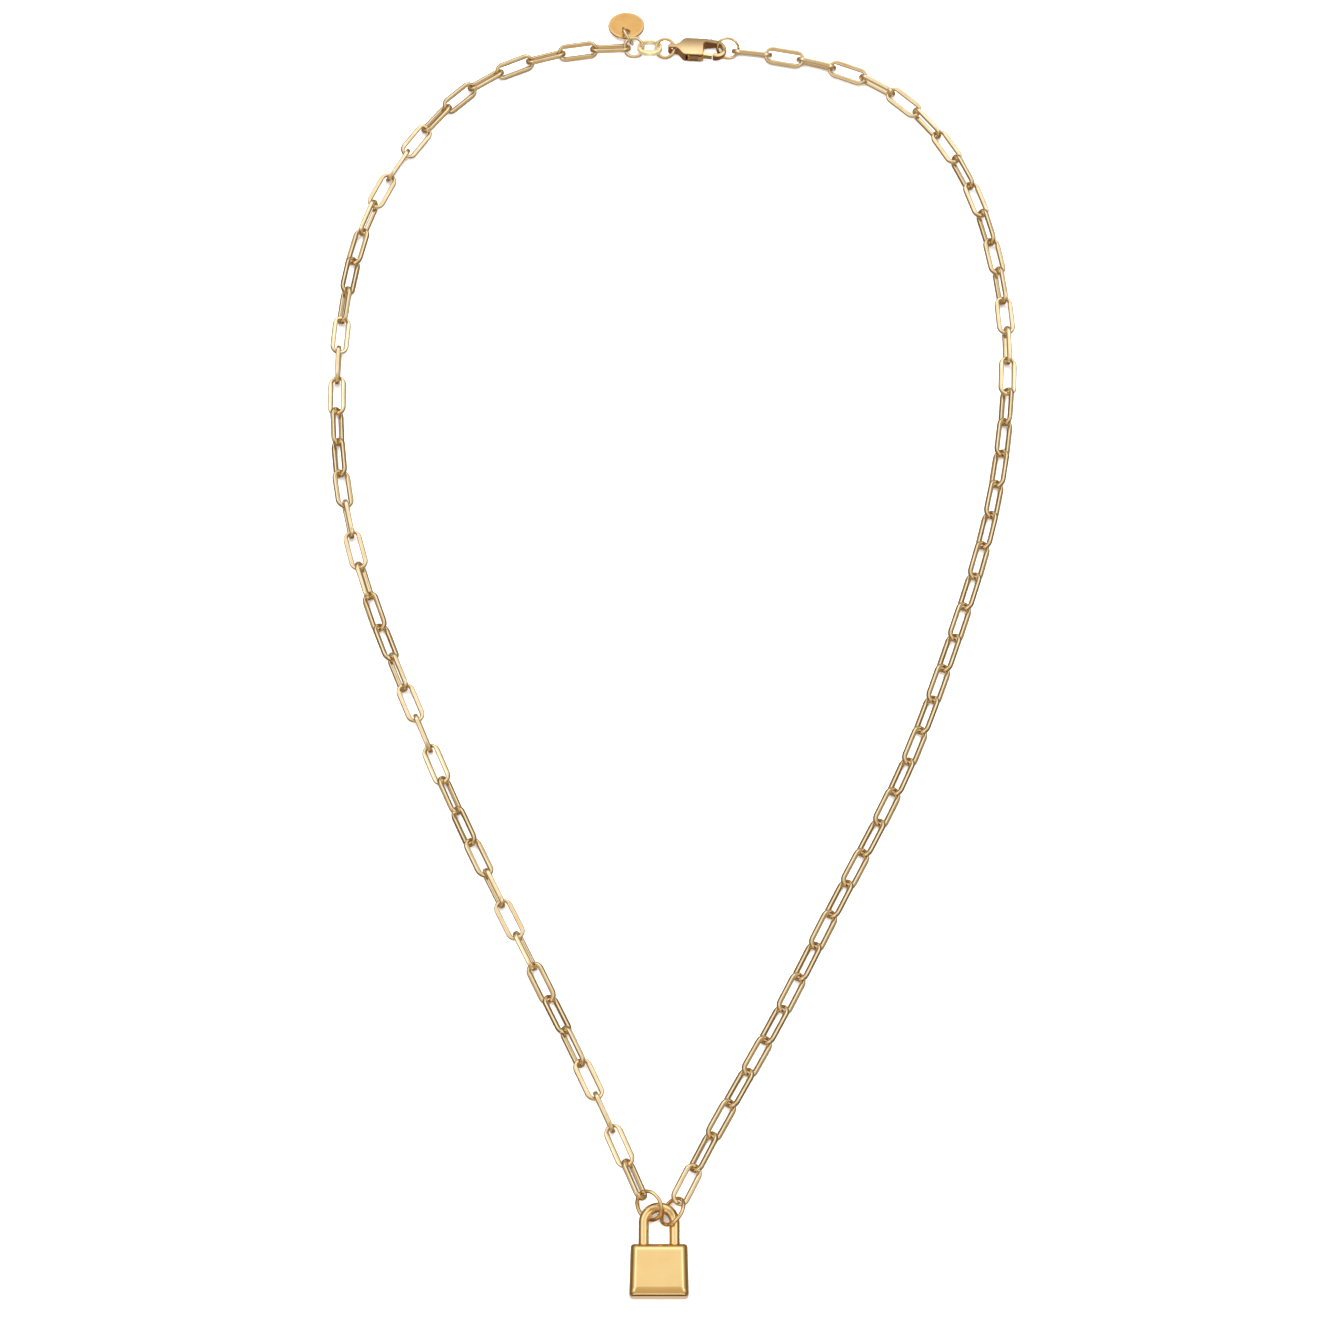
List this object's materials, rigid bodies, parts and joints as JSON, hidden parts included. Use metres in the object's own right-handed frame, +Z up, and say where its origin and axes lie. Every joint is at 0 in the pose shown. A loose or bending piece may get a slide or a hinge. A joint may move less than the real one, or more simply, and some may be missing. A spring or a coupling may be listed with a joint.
{
  "type": "padlock pendant necklace",
  "caption": "Fine gold paperclip chain necklace laid in a long loop, with a small padlock pendant at its foot, a lobster clasp at its top and a bare round tag beside it.",
  "frame": {"origin": "under the middle of the laid-out necklace's box, on the surface it lies on", "axes": "+Y from the padlock towards the clasp, +X to the right seen from above, +Z up from the surface"},
  "size_m": [0.104, 0.2048, 0.0036],
  "materials": {
    "padlock_gold": "softly polished gold",
    "chain_gold": "polished gold",
    "ring_gold": "polished gold",
    "clasp_gold": "satin gold",
    "tag_gold": "satin gold"
  },
  "bodies": {
    "necklace": {"padlock_body": "padlock_gold", "shackle": "padlock_gold", "pendant_ring_left": "ring_gold", "pendant_ring_right": "ring_gold", "chain_left": "chain_gold", "chain_right": "chain_gold", "chain_end_ring": "ring_gold", "flat_ring": "ring_gold", "tag_ring": "ring_gold", "tag": "tag_gold", "clasp_ring": "ring_gold", "clasp_body": "clasp_gold", "hook_ring": "ring_gold"},
    "lever": {"clasp_lever": "clasp_gold"}
  },
  "joints": [
    {"name": "clasp_lever_pivot", "type": "hinge", "parent": "necklace", "child": "lever", "pos_m": [0.00261, 0.09428, 0.00124], "axis": [0.0028, 0.0523, 0.9986], "range_deg": [0, 24], "stiffness_Nm_per_rad": 0.002, "springref_deg": -17.19}
  ]
}
